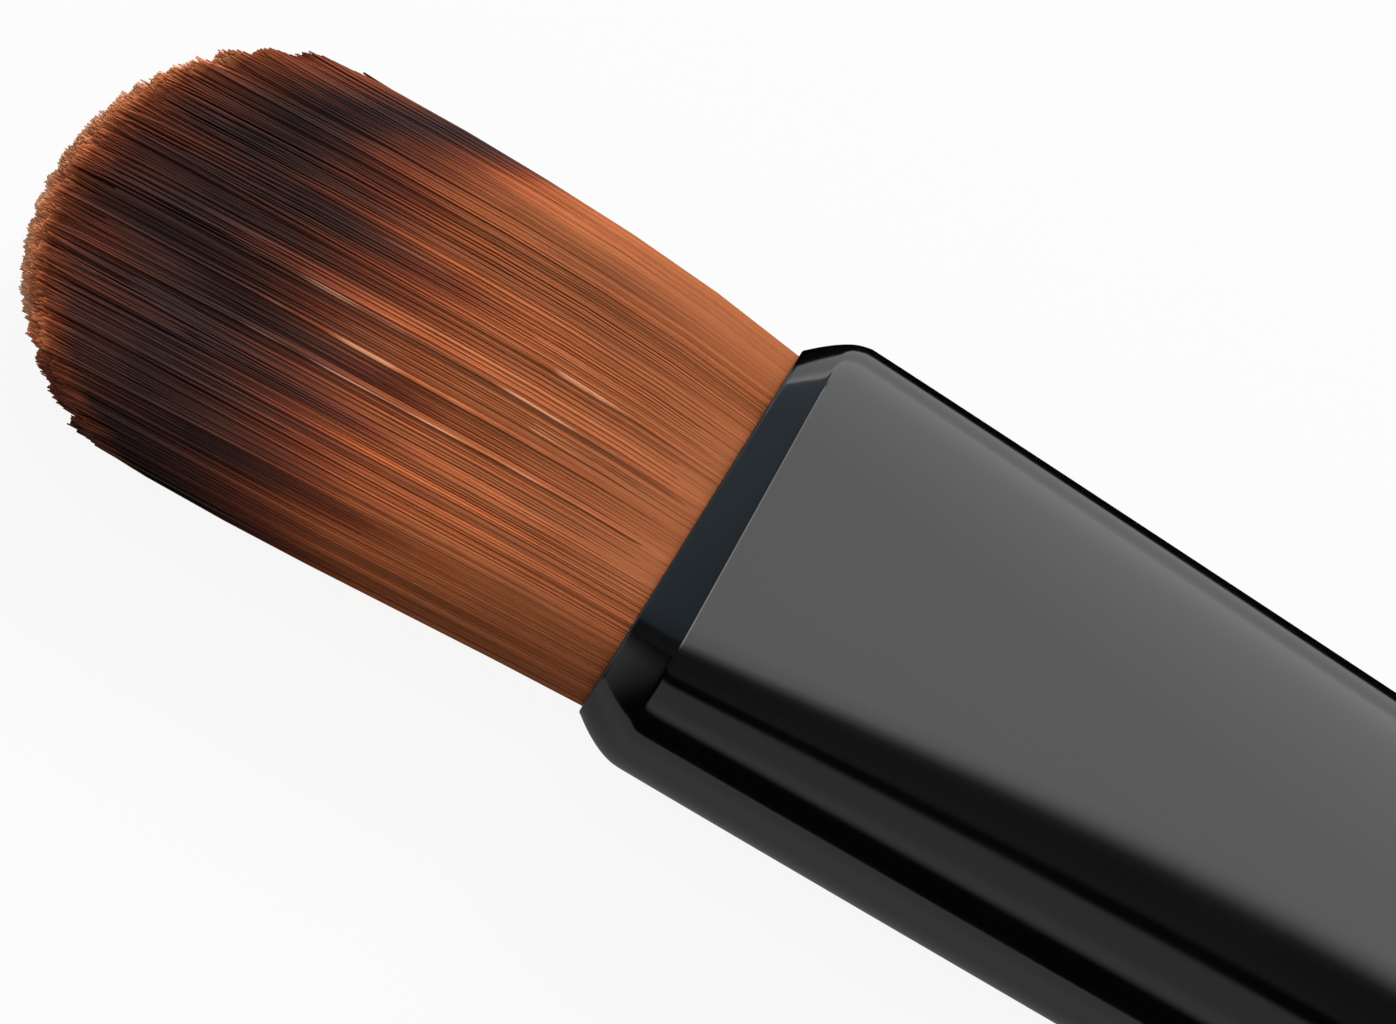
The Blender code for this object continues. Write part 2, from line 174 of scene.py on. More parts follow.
def ramp_between(tree, value, low, high, start=0.0, end=1.0):
    """A smooth change from start to end while the value goes from low to high."""
    inputs = {"Value": value, "From Min": low, "From Max": high, "To Min": start, "To Max": end}
    return add_node(tree, "MapRange", inputs, interpolation_type="SMOOTHSTEP").outputs["Result"]


def set_ramp(ramp_node, stops):
    """Gives a colour ramp these (place, colour) stops."""
    ramp = ramp_node.color_ramp
    for place, _ in stops[len(ramp.elements):]:
        ramp.elements.new(place)
    for element, (place, colour) in zip(ramp.elements, stops):
        element.position = place
        element.color = (*colour, 1.0)
    return ramp_node.outputs["Color"]


def glow(tree, strength, tint=(1.0, 1.0, 1.0)):
    return add_node(tree, "Emission", {"Color": (*tint, 1), "Strength": strength}).outputs[0]


def empty_material(name):
    """A material without a node, and its tree."""
    made = bpy.data.materials.new(name)
    made.use_nodes = True
    made.node_tree.nodes.clear()
    return made, made.node_tree


def surfaced(made, shader):
    """The material, with this shader as its surface."""
    add_node(made.node_tree, "OutputMaterial", {"Surface": shader})
    return made


print("node helpers ready")

# %% [markdown]
# ## The floor
# The photograph has a plain white ground. The floor is a pale matt sheet. For the camera it
# is mixed with plain white: mostly under the brush, so that a faint soft shadow stays, and
# fully some way off, so that it meets the white surroundings without a line. It lies a hair
# below the handle's flat, because two faces in one plane flicker.

# %% Floor
FLOOR_HALF, FLOOR_DROP = 4.0, 0.02
FLOOR_GREY = 0.88
WHITE_SHARE = 0.91
WHITE_FROM, WHITE_TO = 0.09, 0.25


def seen_directly(tree):
    """One for the rays that show things, nought for those that light them."""
    path = add_node(tree, "LightPath").outputs
    seen = maths(tree, "MAXIMUM", path["Is Camera Ray"], path["Is Glossy Ray"])
    return maths(tree, "MAXIMUM", seen, path["Is Transmission Ray"])


def floor_material():
    made, tree = empty_material("floor_white")
    grey = (FLOOR_GREY, FLOOR_GREY, FLOOR_GREY, 1)
    sheet = add_node(tree, "BsdfDiffuse", {"Color": grey}).outputs["BSDF"]
    place = add_node(tree, "TexCoord").outputs["Object"]
    reach = add_node(tree, "VectorMath", {0: place}, operation="LENGTH").outputs["Value"]
    share = ramp_between(tree, reach, WHITE_FROM, WHITE_TO, WHITE_SHARE, 1.0)
    share = times(tree, share, seen_directly(tree))
    both = {"Fac": share, 1: sheet, 2: glow(tree, 1.0)}
    return surfaced(made, add_node(tree, "MixShader", both).outputs["Shader"])


def stage_object(name, bm, material):
    """A part of the studio, which is not part of the brush."""
    mesh = bpy.data.meshes.new(name)
    bm.to_mesh(mesh)
    bm.free()
    mesh.materials.append(material)
    obj = add_object(name, mesh)
    obj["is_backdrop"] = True
    return obj


bm = bmesh.new()
bmesh.ops.create_grid(bm, x_segments=1, y_segments=1, size=FLOOR_HALF)
floor = stage_object("floor", bm, floor_material())
floor.location.z = cad_low.z - FLOOR_DROP * MM
print("floor at z", round(floor.location.z / MM, 2), "mm")

# %% [markdown]
# ## The light
# Glossy black plastic shows almost nothing of its own: what is seen on it is the studio.
# The photograph's handle carries one broad grey area with a soft near edge, a black band, a
# narrow grey band and a black band again. So a large curved soft light stands behind the
# brush, from the floor to straight above it, where it ends softly. Black cloth hangs on the
# near side, with a pale strip between its folds, and closes the light's front end. Only
# glossy rays see the cloth, so it darkens reflections and takes no light from the filaments.

# %% Curved sheets
SHEET_STEPS = 48
FULL_GLOW = 8.0


def curved_sheet(start, end, radius, low_x, high_x):
    """A sheet bent about the X axis. Angles run from the far horizon (0) over the zenith (90)."""
    bm = bmesh.new()
    angle = math.radians(start)
    ends = []
    for x in (low_x, high_x):
        ends.append(bm.verts.new((x, radius * math.cos(angle), radius * math.sin(angle))))
    rest = math.radians(end - start)
    spun = [*ends, bm.edges.new(ends)]
    bmesh.ops.spin(bm, geom=spun, cent=(0, 0, 0), axis=(1, 0, 0), angle=rest, steps=SHEET_STEPS)
    return bm


def glow_material(name, stops, low_x, high_x, fade, tint):
    """Light whose strength follows the angle about the X axis, and fades towards both ends."""
    made, tree = empty_material(name)
    place = add_node(tree, "TexCoord").outputs["Object"]
    parts = add_node(tree, "SeparateXYZ", {0: place}).outputs
    angle = maths(tree, "ARCTAN2", parts["Z"], parts["Y"])
    ramp = add_node(tree, "ValToRGB", {"Fac": maths(tree, "DIVIDE", angle, math.pi)})
    greys = [(degrees / 180, (level / FULL_GLOW,) * 3) for degrees, level in stops]
    strength = set_ramp(ramp, greys)
    middle = maths(tree, "SUBTRACT", parts["X"], (low_x + high_x) / 2)
    off = maths(tree, "ABSOLUTE", middle)
    reach = (high_x - low_x) / 2
    edge = ramp_between(tree, off, reach - fade, reach, FULL_GLOW, 0.0)
    return surfaced(made, glow(tree, times(tree, strength, edge), tint))


def show_only(obj, kinds):
    """Lets only these kinds of ray see a part of the studio."""
    for kind in ("camera", "diffuse", "glossy", "transmission", "volume_scatter", "shadow"):
        setattr(obj, "visible_" + kind, kind in kinds)


def hang(name, angles, radius, ends, stops, fade, tint=(1.0, 1.0, 1.0), seen_by=("glossy",)):
    """Hangs a curved sheet that glows by these (angle, strength) stops."""
    material = glow_material(name, stops, *ends, fade, tint)
    sheet = stage_object(name, curved_sheet(*angles, radius, *ends), material)
    show_only(sheet, seen_by)
    return sheet


print("sheets glow by up to", FULL_GLOW)

# %% [markdown]
# ## Hanging the light and the cloth
# Each sheet has its own reach of angles, its ends along the brush, and a list of angles and
# strengths. The thin bright strip at the light's front end is for the crease behind the
# chamfer: only a normal between the chamfer's and the face's looks at it, so it draws one
# fine pale line there and nowhere else. The card on the floor is seen only by glossy rays,
# and glows as a painted reflection of the lit floor: it carries the light on below the
# horizon, and ends in black close to the handle, which gives the handle's far edge its thin
# dark outline. On the near side it is dim, and dims further towards the handle as painted
# shadow of the brush on the floor.

# %% Sheets and card
LIGHT_STOPS = [
    (0, 2.6), (40, 2.8), (73, 2.65), (79, 2.5),
    (83.5, 1.75), (87.5, 0.8), (91, 0.2), (96, 0.09),
]
FOLD_STOPS = [
    (100, 0.1), (112, 0.16), (115, 0.0), (120.5, 0.0), (123, 0.55),
    (138, 0.56), (145, 0.75), (149, 0.7), (154, 0.0),
]
COOL = (0.78, 1.0, 1.2)
SHEETS = [
    hang(
        "soft_light", angles=(0, 96), radius=0.6, ends=(-0.5, 0.3), stops=LIGHT_STOPS, fade=0.1,
        seen_by=("glossy", "transmission"),
    ),
    hang(
        "dark_cloth", angles=(84, 179), radius=0.64, ends=(-1.6, 1.6),
        stops=[(90, 0.09), (112, 0.16), (115, 0.0)], fade=0.02,
    ),
    hang(
        "pale_fold", angles=(100, 160), radius=0.62, ends=(-0.36, 1.6), stops=FOLD_STOPS, fade=0.1,
    ),
    hang(
        "end_cloth", angles=(0, 90), radius=0.66, ends=(-1.6, -0.4),
        stops=[(0, 0.6), (70, 0.6), (88, 0.08)], fade=0.01, tint=COOL,
    ),
    hang(
        "lip_cloth", angles=(100, 179), radius=0.61, ends=(-1.9, -0.5),
        stops=[(100, 0.1), (125, 1.1), (180, 1.1)], fade=0.5,
    ),
    hang(
        "edge_strip", angles=(25, 92), radius=0.58, ends=(-0.43, -0.29),
        stops=[(25, 0.0), (35, 4.6), (84, 4.6), (92, 0.0)], fade=0.03,
    ),
]
CARD_HALF, CARD_STRETCH, CARD_X, CARD_LIFT = 0.5, (0.8, 1.2, 1), -0.1, 0.1
CARD_START = (0.0235, 0.0265)
CARD_FAR = (0.02, 0.12, 1.1, 2.5)
# Near side: a dim glow that fades towards the handle, as painted shadow of the brush.
CARD_NEAR_GLOW_AND_SHADOW = (-0.04, 0.004, 0.6, 0.0)


def card_material():
    made, tree = empty_material("floor_card")
    place = add_node(tree, "TexCoord").outputs["Object"]
    across = add_node(tree, "SeparateXYZ", {0: place}).outputs["Y"]
    start = ramp_between(tree, across, *CARD_START)
    far = times(tree, start, ramp_between(tree, across, *CARD_FAR))
    # The near side's glow with its painted shadow, added to the far side's glow.
    level = maths(tree, "ADD", ramp_between(tree, across, *CARD_NEAR_GLOW_AND_SHADOW), far)
    return surfaced(made, glow(tree, level))


bm = bmesh.new()
bmesh.ops.create_grid(bm, x_segments=1, y_segments=1, size=CARD_HALF)
bmesh.ops.scale(bm, vec=CARD_STRETCH, verts=bm.verts)
bmesh.ops.translate(bm, vec=(CARD_X, 0.0, cad_low.z + CARD_LIFT * MM), verts=bm.verts)
card = stage_object("floor_card", bm, card_material())
show_only(card, ("glossy",))
print("sheets:", ", ".join(sheet.name for sheet in SHEETS))

# %% [markdown]
# ## Lamps for the colours
# Two plain soft lamps, one overhead and one from the far side, light the colours without
# showing in the gloss. The white room adds a weak even light, and is itself seen as white.

# %% Lamps and room
ROOM_LIGHT = 0.28


def soft_lamp(name, place, size, watts):
    """A square lamp that looks at the brush and stays out of the reflections."""
    lamp = add_object(name, bpy.data.lights.new(name, "AREA"))
    lamp.data.size = size
    lamp.data.energy = watts
    lamp.location = place
    lamp.rotation_euler = (Vector(place) - on_brush(0, 0, 0)).to_track_quat("Z", "Y").to_euler()
    lamp.visible_glossy = False
    lamp.visible_camera = False
    return lamp


LAMPS = [
    soft_lamp("overhead_lamp", place=(-0.06, 0.05, 0.6), size=0.3, watts=0.72),
    soft_lamp("side_lamp", place=(-0.08, 0.5, 0.36), size=0.3, watts=2.85),
]
world = bpy.data.worlds.new("white_room")
bpy.context.scene.world = world
world.use_nodes = True
tree = world.node_tree
tree.nodes.clear()
level = ranged(tree, seen_directly(tree), ROOM_LIGHT, 1.0)
backdrop = add_node(tree, "Background", {"Strength": level}).outputs["Background"]
add_node(tree, "OutputWorld", {"Surface": backdrop})
bpy.context.scene.view_settings.view_transform = "Standard"
print("lamps:", ", ".join(lamp.name for lamp in LAMPS))

# %% [markdown]
# ## Shared effects
# Two effects come back in several finishes, so each is built once as a node group: a soft
# uneven mask, as handling and moulding leave on any surface, and a fine grain for its bump.

# %% Node groups
PATCH_EDGES = (0.2, 0.8)


def new_group(name, inputs, outputs):
    """An empty shader group with these named sockets."""
    tree = bpy.data.node_groups.new(name, "ShaderNodeTree")
    for label, kind, value in inputs:
        socket = tree.interface.new_socket(label, in_out="INPUT", socket_type="NodeSocket" + kind)
        if value is not None:
            socket.default_value = value
    for label, kind in outputs:
        tree.interface.new_socket(label, in_out="OUTPUT", socket_type="NodeSocket" + kind)
    return tree, tree.nodes.new("NodeGroupInput").outputs, tree.nodes.new("NodeGroupOutput").inputs


def uneven_group():
    """A soft mask, from 0 to 1, of broad patches broken by finer ones."""
    sockets = [("Vector", "Vector", None), ("Patches", "Float", 60.0)]
    tree, given, result = new_group("uneven", sockets, [("Mask", "Float")])
    inputs = {"Vector": given["Vector"], "Scale": given["Patches"], "Detail": 5.0}
    noise = add_node(tree, "TexNoise", inputs).outputs["Fac"]
    tree.links.new(ramp_between(tree, noise, *PATCH_EDGES), result["Mask"])
    return tree


def grain_group():
    """A fine even grain for a Bump node's height, stretched along X by the given amount."""
    sockets = [("Vector", "Vector", None), ("Grains", "Float", 4000.0), ("Stretch", "Float", 1.0)]
    tree, given, result = new_group("grain", sockets, [("Height", "Float")])
    squeeze = maths(tree, "DIVIDE", 1.0, given["Stretch"])
    scale = add_node(tree, "CombineXYZ", {"X": squeeze, "Y": 1.0, "Z": 1.0}).outputs[0]
    inputs = {0: given["Vector"], 1: scale}
    place = add_node(tree, "VectorMath", inputs, operation="MULTIPLY").outputs[0]
    noise = add_node(tree, "TexNoise", {"Vector": place, "Scale": given["Grains"], "Detail": 2.0})
    tree.links.new(noise.outputs["Fac"], result["Height"])
    return tree


UNEVEN = uneven_group()
GRAIN = grain_group()


def use_group(tree, group, inputs):
    return add_node(tree, "Group", inputs, node_tree=group).outputs[0]


print("groups:", UNEVEN.name, GRAIN.name)

# %% [markdown]
# ## A finish from a few numbers
# Most of the brush's materials differ only in two colours, two roughnesses and a grain. This
# function wires them the same way: the uneven mask mixes the two colours and the two
# roughnesses, and the grain drives a slight bump. What is the same all over, such as metal,
# is set on the shader itself.

# %% Surface finish


def finish(name, colours, roughness, patches, grains, bump_mm, stretch=1.0, metallic=0.0):
    made, tree = empty_material(name)
    place = add_node(tree, "TexCoord").outputs["Object"]
    mask = use_group(tree, UNEVEN, {"Vector": place, "Patches": patches})
    grain = use_group(tree, GRAIN, {"Vector": place, "Grains": grains, "Stretch": stretch})
    colour = colour_mix(tree, mask, (*colours[0], 1), (*colours[1], 1))
    rough = ranged(tree, mask, *roughness)
    bump = add_node(tree, "Bump", {"Height": grain, "Strength": 1.0, "Distance": bump_mm * MM})
    surface = add_node(tree, "BsdfPrincipled", {
        "Base Color": colour, "Roughness": rough, "Normal": bump.outputs[0], "Metallic": metallic,
    })
    return surfaced(made, surface.outputs[0])


BLACK = finish(
    "black_gloss", colours=[(0.0016, 0.0016, 0.0018), (0.003, 0.003, 0.0033)],
    roughness=(0.07, 0.12), patches=90, grains=900, bump_mm=0.0006,
)
print("finish:", BLACK.name)

# %% [markdown]
# ## The handle's cross-section
# The handle is an oval with two flats: each broad face is level over a middle strip, the
# land, and falls off to the sides in a quarter ellipse. One function gives the section's
# point for a turn from 0 to 1 round it, so every ring of the handle has its points in the
# same order. A section is written as half its width, half its height and half its land, all
# in millimetres.

# %% Section of the handle
SIDES = 128
CURVE_SHARE = 0.86
MOUTH = (12.05, 5.5, 6.02)
MOUTH_SHIFT, SHIFT_END = -0.28, 3.0


def section_point(turn, half_width, half_height, land):
    """The point (y, z) of a flat-sided oval at this turn, from +Y towards +Z."""
    quarter, share = divmod(turn * 4 % 4, 1)
    if quarter % 2:
        share = 1 - share
    swing = math.radians(90) * min(1.0, share / CURVE_SHARE)
    y = land + (half_width - land) * math.cos(swing)
    if share > CURVE_SHARE:
        y = land * (1 - share) / (1 - CURVE_SHARE)
    z = half_height * math.sin(swing)
    return y * (-1 if quarter in (1, 2) else 1), z * (-1 if quarter > 1 else 1)


def mouth_shift(along):
    """The mouth stands a little towards the near side of the handle's middle."""
    return MOUTH_SHIFT * max(0.0, 1 - along / SHIFT_END)


print("section at the mouth:", [round(x, 1) for x in section_point(0.1, *MOUTH)], "mm")

# %% [markdown]
# ## Rings drawn into a skin
# A tube over unlike rings can be made by extruding one ring of edges again and again. Each
# point carries its own turn in a layer, which the extrusion hands on, so a new ring only has
# to be asked where that turn lies on the next section.

# %% Skin over rings
SHARP_FROM = 35


def first_ring(bm, turn):
    """A ring whose points carry their turn, from 0 to 1, in a layer."""
    verts = bmesh.ops.create_circle(bm, cap_ends=False, segments=SIDES, radius=1.0)["verts"]
    for number, vert in enumerate(verts):
        vert[turn] = number / SIDES
    return verts, list(bm.edges)


def next_ring(bm, edges):
    """Extrudes a ring of edges, and gives the new ring's points and edges."""
    made = bmesh.ops.extrude_edge_only(bm, edges=edges)["geom"]
    verts = [item for item in made if isinstance(item, bmesh.types.BMVert)]
    joined = [item for item in made if isinstance(item, bmesh.types.BMEdge)]
    return verts, [edge for edge in joined if edge.is_boundary]


def close_ends(bm, *rings):
    """Closes each open ring of edges with one face."""
    for ring in rings:
        bmesh.ops.contextual_create(bm, geom=ring)


def finished_piece(name, bm, material, angle=SHARP_FROM):
    """The bmesh as a piece of the brush: faces outward, smooth but for sharp corners."""
    bmesh.ops.recalc_face_normals(bm, faces=bm.faces)
    mesh = bpy.data.meshes.new(name)
    bm.to_mesh(mesh)
    bm.free()
    mesh.shade_smooth()
    mesh.set_sharp_from_angle(angle=math.radians(angle))
    mesh.materials.append(material)
    obj = add_object(name, mesh)
    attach(obj, "root")
    print(name, len(mesh.polygons), "faces")
    return obj


def skin(name, rings, material, joined=False):
    """A piece over (along, half width, half height, land) rings, in millimetres.

    A fifth number tilts a ring's broad sides, as the crease of the handle's lip is tilted.
    """
    bm = bmesh.new()
    turn = bm.verts.layers.float.new("turn")
    verts, first = first_ring(bm, turn)
    edges = first
    for count, (along, half_width, half_height, land, *tilt) in enumerate(rings):
        if count:
            verts, edges = next_ring(bm, edges)
        for vert in verts:
            y, z = section_point(vert[turn], half_width, half_height, land)
            shift = sum(tilt) * y * abs(z) / half_height
            vert.co = on_brush((along + shift) * MM, (y + mouth_shift(along)) * MM, z * MM)
    if joined:
        bmesh.ops.bridge_loops(bm, edges=first + edges)
    else:
        close_ends(bm, first, edges)
    return finished_piece(name, bm, material)


print("rings of", SIDES, "points")

# %% [markdown]
# ## The handle moulding
# The real handle is one glossy black moulding. Its front end has a flat chamfer across the
# broad faces, with a crisp back edge that catches the light, and rounds over at the narrow
# sides. The body thickens towards a belly while it narrows steadily to the tail. Inside are
# the pocket that takes the tuft's sleeve and the bore behind it. The sections repeat the
# frame's sizes with finer steps.

# %% Sections of the handle
LIP, CREASE, BELLY, SHELL_END = 3.0, 2.2, 45.0, 112.0
RIM = (10.44, 4.4, 5.6)
POCKET = (10.2, 4.1, 5.61)
LEDGE_AT = 18.9
CREASE_TILT, TILT_REACH = -0.05, 6.0
TAIL_WIDTH, BELLY_HEIGHT, REAR_LAND = 8.8, 7.0, 1.5
LIP_CURVE, TAPER_CURVE, LAND_CURVE = 1.7, 1.1, 1.1
BORE_WIDTHS, BORE_HEIGHT, BORE_LAND = (9.9, 6.6), 3.8, 0.55


def side_width(along):
    """Half the handle's width: rounding over along the lip, then narrowing to the tail."""
    if along < LIP:
        return mix(RIM[0], MOUTH[0], 1 - (1 - along / LIP) ** LIP_CURVE)
    return mix(MOUTH[0], TAIL_WIDTH, ((along - LIP) / (SHELL_END - LIP)) ** TAPER_CURVE)


def lip_ring(share):
    """A ring of the lip from the mouth to the crease: flat on the faces, round at the sides."""
    along = CREASE * share
    half_height = mix(RIM[1], MOUTH[1], share)
    land = mix(RIM[2], MOUTH[2], share)
    return (along, side_width(along), half_height, land, CREASE_TILT * share)


def body_ring(along):
    """The handle's outside behind its lip."""
    grown = math.sin(math.radians(90) * min(1.0, (along - CREASE) / (BELLY - CREASE)))
    half_height = mix(MOUTH[1], BELLY_HEIGHT, grown)
    land = mix(MOUTH[2], REAR_LAND, max(0.0, grown) ** LAND_CURVE)
    tilt = CREASE_TILT * max(0.0, 1 - (along - CREASE) / TILT_REACH)
    return (along, side_width(along), half_height, land, tilt)


def bore_ring(along):
    """The bore, which narrows steadily from the pocket's ledge to the tail."""
    half_width = mix(*BORE_WIDTHS, (along - LEDGE_AT) / (SHELL_END - LEDGE_AT))
    return (along, half_width, BORE_HEIGHT, BORE_LAND * half_width)


def rounded(start, corner, end, steps):
    """Rings along a curve that leaves the start and reaches the end, bent by the corner."""
    shares = [(step + 1) / (steps + 1) for step in range(steps)]
    return [
        tuple(
            (1 - share) ** 2 * a + 2 * share * (1 - share) * b + share**2 * c
            for a, b, c in zip(start, corner, end)
        )
        for share in shares
    ]


print("crease", CREASE, "mm behind the mouth, ledge", LEDGE_AT, "mm")

# %% [markdown]
# ## One skin, inside and out
# The rings start at the pocket's ledge, come out over the mouth, pass the lip and the body,
# turn in at the tail and return through the bore, so the last ring meets the first and the
# moulding is closed. The crease is rounded over about a third of a millimetre, and the
# mouth's rim along an arc.

# %% Handle moulding
SOFTENING, CREASE_RINGS = 0.08, 5
RIM_RADIUS, POCKET_FROM = 0.18, 0.5
RIM_DEGREES = (-90, -60, -30, 0, 15, 30, 42, 54, 64)
LIP_SHARES = (0.06, 0.09, 0.14, 0.22, 0.31, 0.4, 0.5, 0.6, 0.7, 0.8)
NECK_AT = (2.6, 3.0, 3.5, 4.2, 5.2, 6.6, 8.5)
BODY_AT = [11.0 + 3.4 * step for step in range(10)]
REAR_AT = (44.2, 45, 46.5, 52, 66, 80, 94, 108, 111.2, 111.7)
SHELL_EDGE, EDGE_FROM = body_ring(SHELL_END)[1:4], 111.9
EDGE_BEND, EDGE_CUT = 0.03, 0.12


def rim_ring(degrees):
    """A ring of the arc from the pocket over the rim to the lip."""
    swing = math.radians(degrees)
    wider = RIM_RADIUS * (1 + math.sin(swing))
    along = RIM_RADIUS * (1 - math.cos(swing))
    return (along, POCKET[0] + wider, POCKET[1] + wider, POCKET[2])


def seam_ring(along, inset):
    """The moulding's end section, drawn in a little for the seam's soft edges."""
    half_width, half_height, land = SHELL_EDGE
    return (along, half_width - inset, half_height - inset, land)


before, after = lip_ring(1 - SOFTENING), body_ring(CREASE * (1 + SOFTENING))
handle_rings = [(LEDGE_AT, *POCKET), (POCKET_FROM, *POCKET)]
handle_rings += [rim_ring(degrees) for degrees in RIM_DEGREES]
handle_rings += [lip_ring(share) for share in LIP_SHARES]
handle_rings += [before, *rounded(before, lip_ring(1.0), after, CREASE_RINGS), after]
handle_rings += [body_ring(along) for along in (*NECK_AT, *BODY_AT, *REAR_AT)]
handle_rings += [seam_ring(EDGE_FROM, EDGE_BEND), seam_ring(SHELL_END, EDGE_CUT)]
handle_rings += [bore_ring(SHELL_END), bore_ring(LEDGE_AT)]
handle = skin("handle_moulding", handle_rings, BLACK, joined=True)
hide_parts("handle_shell")

# %% [markdown]
# ## The tail cap
# The cap closes the handle behind a hair-fine seam and ends in a small flat, with a skirt
# that plugs into the bore. It is the same skin over rings, turned in at the end along a
# quarter circle.

# %% Tail cap
SEAM_END, TAIL = 112.04, 118.0
HOLLOW, CAP_FLOOR = (4.9, 2.1, 2.7), 1.8
SKIRT_END, SKIRT_GAP = 106.0, 0.3
ROUNDING, ROUNDING_STEPS = 4.0, 16


def skirt_ring(along, bore_at):
    """The skirt's ring: the bore's, drawn in all round by the gap between them."""
    return (along, *(size - SKIRT_GAP for size in bore_ring(bore_at)[1:]))


def tail_ring(swing):
    """A ring of the cap's outside, from full size to its flat end a quarter turn on."""
    half_width, half_height, land = SHELL_EDGE
    inset = ROUNDING * (1 - math.cos(swing))
    narrowed = half_width - inset
    along = TAIL - ROUNDING * (1 - math.sin(swing))
    return (along, narrowed, half_height - inset, land * narrowed / half_width)


cap_rings = [
    (TAIL - CAP_FLOOR, *HOLLOW),
    (SKIRT_END, *HOLLOW),
    skirt_ring(SKIRT_END, SKIRT_END),
    skirt_ring(SEAM_END, SHELL_END),
    seam_ring(SEAM_END, EDGE_CUT),
    seam_ring(SEAM_END + 0.1, EDGE_BEND),
    seam_ring(SEAM_END + 0.3, 0.0),
]
for step in range(ROUNDING_STEPS + 1):
    cap_rings.append(tail_ring(math.radians(90) * step / ROUNDING_STEPS))
cap = skin("tail_cap_fine", cap_rings, BLACK)
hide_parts("tail_cap")

# %% [markdown]
# ## How the tuft flows
# The filaments leave the handle as a flat oval, swell into a belly, spread a little, and end
# in a dome that is thin from front to back. The middle layers are the longest, so the end is
# rounded that way too. The mouth stands a little to one side, and the tuft starts there and
# leans further. Every filament keeps its place on a unit disc, and these functions carry
# whole arrays of places onto the tuft's oval at any distance out of the mouth.

# %% Flow of the tuft
TUFT_LENGTH, DOME, LAYERING = 35.55, 12.0, 1.0
LEAN, LEAN_CURVE, RECENTRE = 1.4, 1.3, 7.0
ROOT_AT, ROOT_SIZE, MOUTH_SIZE = 2.2, (9.2, 3.0), (10.25, 3.95)
SPREAD_WIDTH, SPREAD_AT, SPREAD_CURVE = 11.42, 24.0, 2.2
SWOLLEN_HEIGHT, SWOLLEN_AT = 4.0, 9.0
TIP_HEIGHT, TIP_RUN = 1.9, 27.0
DISC_LAND, ARC_SHARE = 0.42, 0.97
TINY = 1e-9


def tuft_half_width(out):
    held = mix(MOUTH_SIZE[0], ROOT_SIZE[0], -out / ROOT_AT)
    spread = 1 - (1 - np.clip(out / SPREAD_AT, 0, 1)) ** SPREAD_CURVE
    return np.where(out < 0, held, mix(MOUTH_SIZE[0], SPREAD_WIDTH, spread))


def tuft_half_height(out):
    held = mix(MOUTH_SIZE[1], ROOT_SIZE[1], -out / ROOT_AT)
    near = mix(SWOLLEN_HEIGHT, MOUTH_SIZE[1], ((SWOLLEN_AT - out) / SWOLLEN_AT) ** 2)
    far = mix(SWOLLEN_HEIGHT, TIP_HEIGHT, ((out - SWOLLEN_AT) / TIP_RUN) ** 2)
    return np.where(out < 0, held, np.where(out < SWOLLEN_AT, near, far))


def disc_to_oval(across, up):
    """Carries the unit disc onto an oval whose broad sides are flat over the land's share."""
    side = 1 - DISC_LAND
    reach = np.maximum(np.hypot(across, up), TINY)
    a, b = np.abs(across) / reach, np.abs(up) / reach
    square = np.maximum(b**2 * side**2 + a**2, TINY)
    root = np.sqrt(np.maximum((a * DISC_LAND) ** 2 - square * (DISC_LAND**2 - side**2), 0))
    curved = (a * DISC_LAND + root) / square
    stretch = np.where(a <= DISC_LAND * b, 1 / np.maximum(b, TINY), curved)
    return across * stretch, up * stretch


def tuft_middle(out):
    """The tuft starts in the mouth's middle and leans a little to the near side."""
    start = mouth_shift(0) * np.clip(1 - np.abs(out) / RECENTRE, 0, 1)
    return start - LEAN * (np.maximum(out, 0) / TUFT_LENGTH) ** LEAN_CURVE


def tuft_point(across, up, out):
    """(y, z) in millimetres of the filament rooted at this place of the disc."""
    y, z = disc_to_oval(across, up)
    return y * tuft_half_width(out) + tuft_middle(out), z * tuft_half_height(out)


def dome_reach(across):
    """How far out the tuft's outline lies, across its width."""
    return TUFT_LENGTH - DOME + DOME * np.sqrt(np.maximum(0, 1 - across**2))


def layer_drop(across, up):
    """How much shorter a filament is than those in the tuft's middle layer."""
    past_flat = np.clip((np.abs(across) - DISC_LAND) / (1 - DISC_LAND), 0, ARC_SHARE)
    thick = np.sqrt(1 - past_flat**2)
    layer = np.clip(np.abs(up) / thick, 0, 1)
    return LAYERING * thick * (1 - np.sqrt(1 - ARC_SHARE * layer**2))


print("tuft", round(float(2 * tuft_half_width(SPREAD_AT)), 1), "mm wide at its widest")

# %% [markdown]
# ## The colour of a filament
# Synthetic filaments like these are copper brown near the handle, turn slowly to almost
# black in the upper third, redden again, and are bright copper at the very tip, where the
# dye has been ground off. No two are quite alike. Each filament has its own narrow column of
# a UV map, so the first UV number says which shade it is and the second how far along it a
# point lies. The last part of the map is kept for the tips, and the last few columns for the
# odd filament that stands out of the mass. Over part of its length it gets a painted
# highlight: a pale colour added to its dye.

